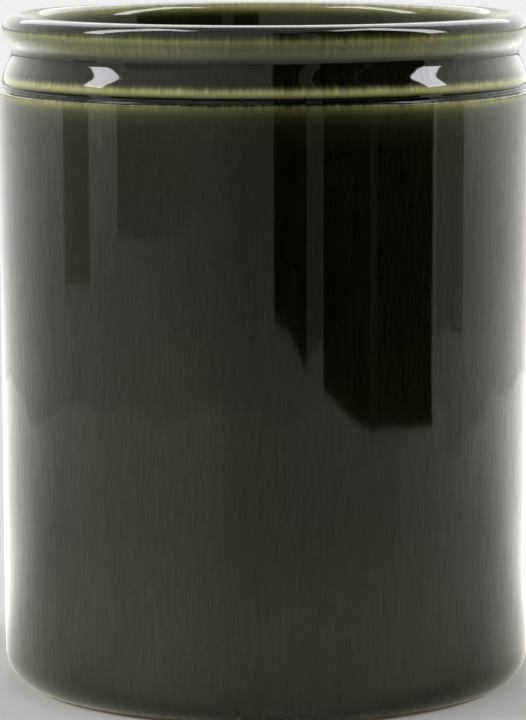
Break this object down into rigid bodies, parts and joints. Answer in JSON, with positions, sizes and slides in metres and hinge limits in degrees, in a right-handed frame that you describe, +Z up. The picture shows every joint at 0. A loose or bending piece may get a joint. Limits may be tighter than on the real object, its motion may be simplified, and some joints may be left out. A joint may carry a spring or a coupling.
{
  "type": "brush holder pot",
  "caption": "Round thrown stoneware brush pot with a rolled rim, coved neck, turned groove and dark olive runny glaze over a bare foot ring.",
  "frame": {"origin": "centre of the foot, on the plane the pot stands on", "axes": "+Z up along the pot's axis of turning; +X and +Y are equivalent"},
  "size_m": [0.11, 0.11, 0.139],
  "materials": {
    "bare_stoneware": "unglazed fired stoneware, matt and slightly gritty, tan to warm grey",
    "outside_glaze": "glossy dark olive glaze with fine vertical runs, breaking to straw on the shoulder, groove lips and rim",
    "liner_glaze": "the same glaze inside, a little lighter, breaking to straw at the rim",
    "base_glaze": "the same glaze, pooled in the recess under the base"
  },
  "bodies": {
    "root": {"stoneware_body": "bare_stoneware", "outside_glaze": "outside_glaze", "liner_glaze": "liner_glaze", "base_glaze": "base_glaze"}
  },
  "joints": []
}
